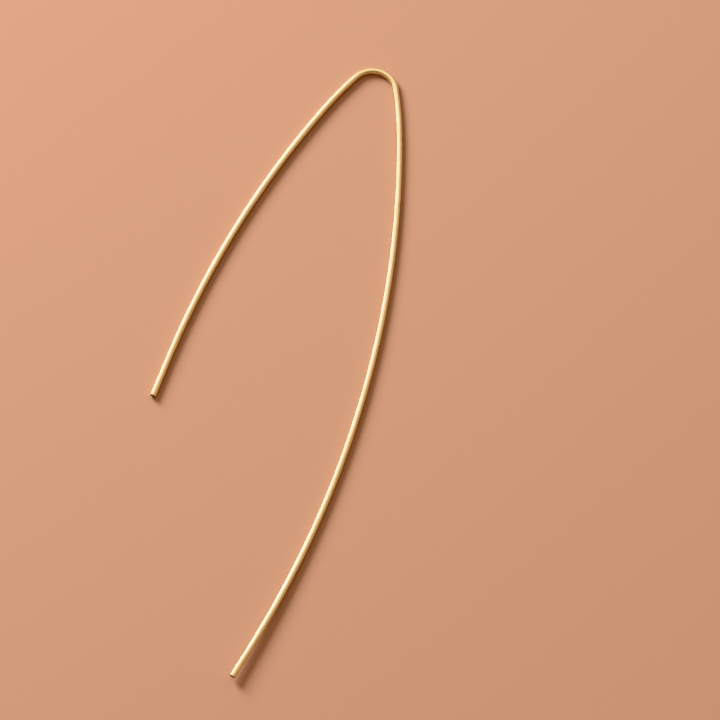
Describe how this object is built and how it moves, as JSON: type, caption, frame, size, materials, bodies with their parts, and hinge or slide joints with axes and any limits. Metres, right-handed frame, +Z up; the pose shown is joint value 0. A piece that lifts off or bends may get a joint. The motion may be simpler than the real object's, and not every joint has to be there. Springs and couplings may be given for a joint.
{
  "type": "threader earring",
  "caption": "Slim round wire bent into a lopsided arch: the short leg threads through the ear, the tight bend rests in it and the long bowed leg hangs in front.",
  "frame": {"origin": "centre of the wire's outline on the surface that it lies on, at the height of that surface", "axes": "+Z up, out of the plane that the wire lies in; +Y towards the bend, along the line that the wire hangs on when worn, so Y is its long way; +X towards the long leg's side of the bend"},
  "size_m": [0.0262, 0.0839, 0.0012],
  "materials": {
    "gold_wire": "polished"
  },
  "bodies": {
    "root": {"ear_wire": "gold_wire"}
  },
  "joints": []
}
